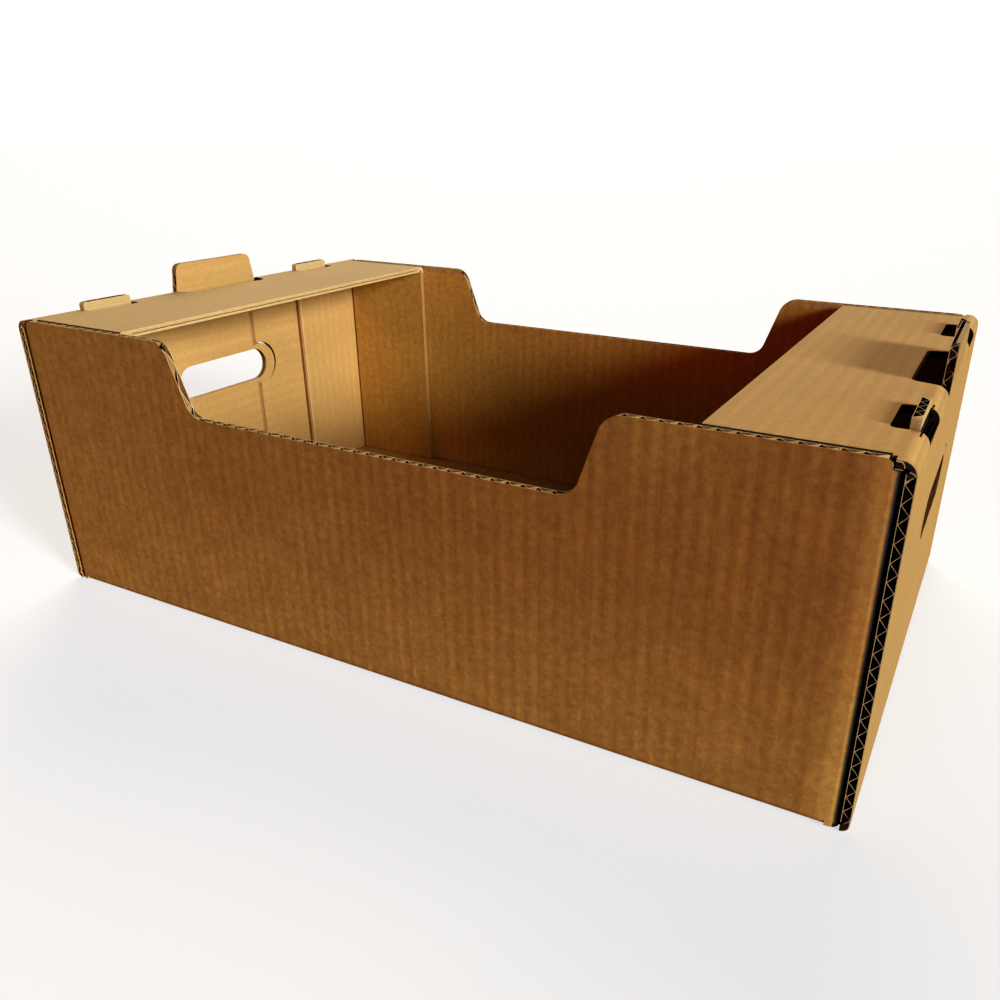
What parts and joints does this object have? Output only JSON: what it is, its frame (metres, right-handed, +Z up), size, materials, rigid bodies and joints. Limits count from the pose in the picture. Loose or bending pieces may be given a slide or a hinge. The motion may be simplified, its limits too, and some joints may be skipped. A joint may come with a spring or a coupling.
{
  "type": "cardboard tray box",
  "caption": "Open corrugated cardboard tray with lowered middles in its long walls, shelves over its ends, hand holes and standing tabs.",
  "frame": {"origin": "middle of the tray's underside", "axes": "+X along the length towards one end wall, +Y across the width from one long wall to the other, +Z up"},
  "size_m": [0.5, 0.3, 0.1875],
  "materials": {
    "kraft_board": "plain brown kraft liner, matt, with the flutes showing faintly"
  },
  "bodies": {
    "root": {"tray": "kraft_board"}
  },
  "joints": []
}
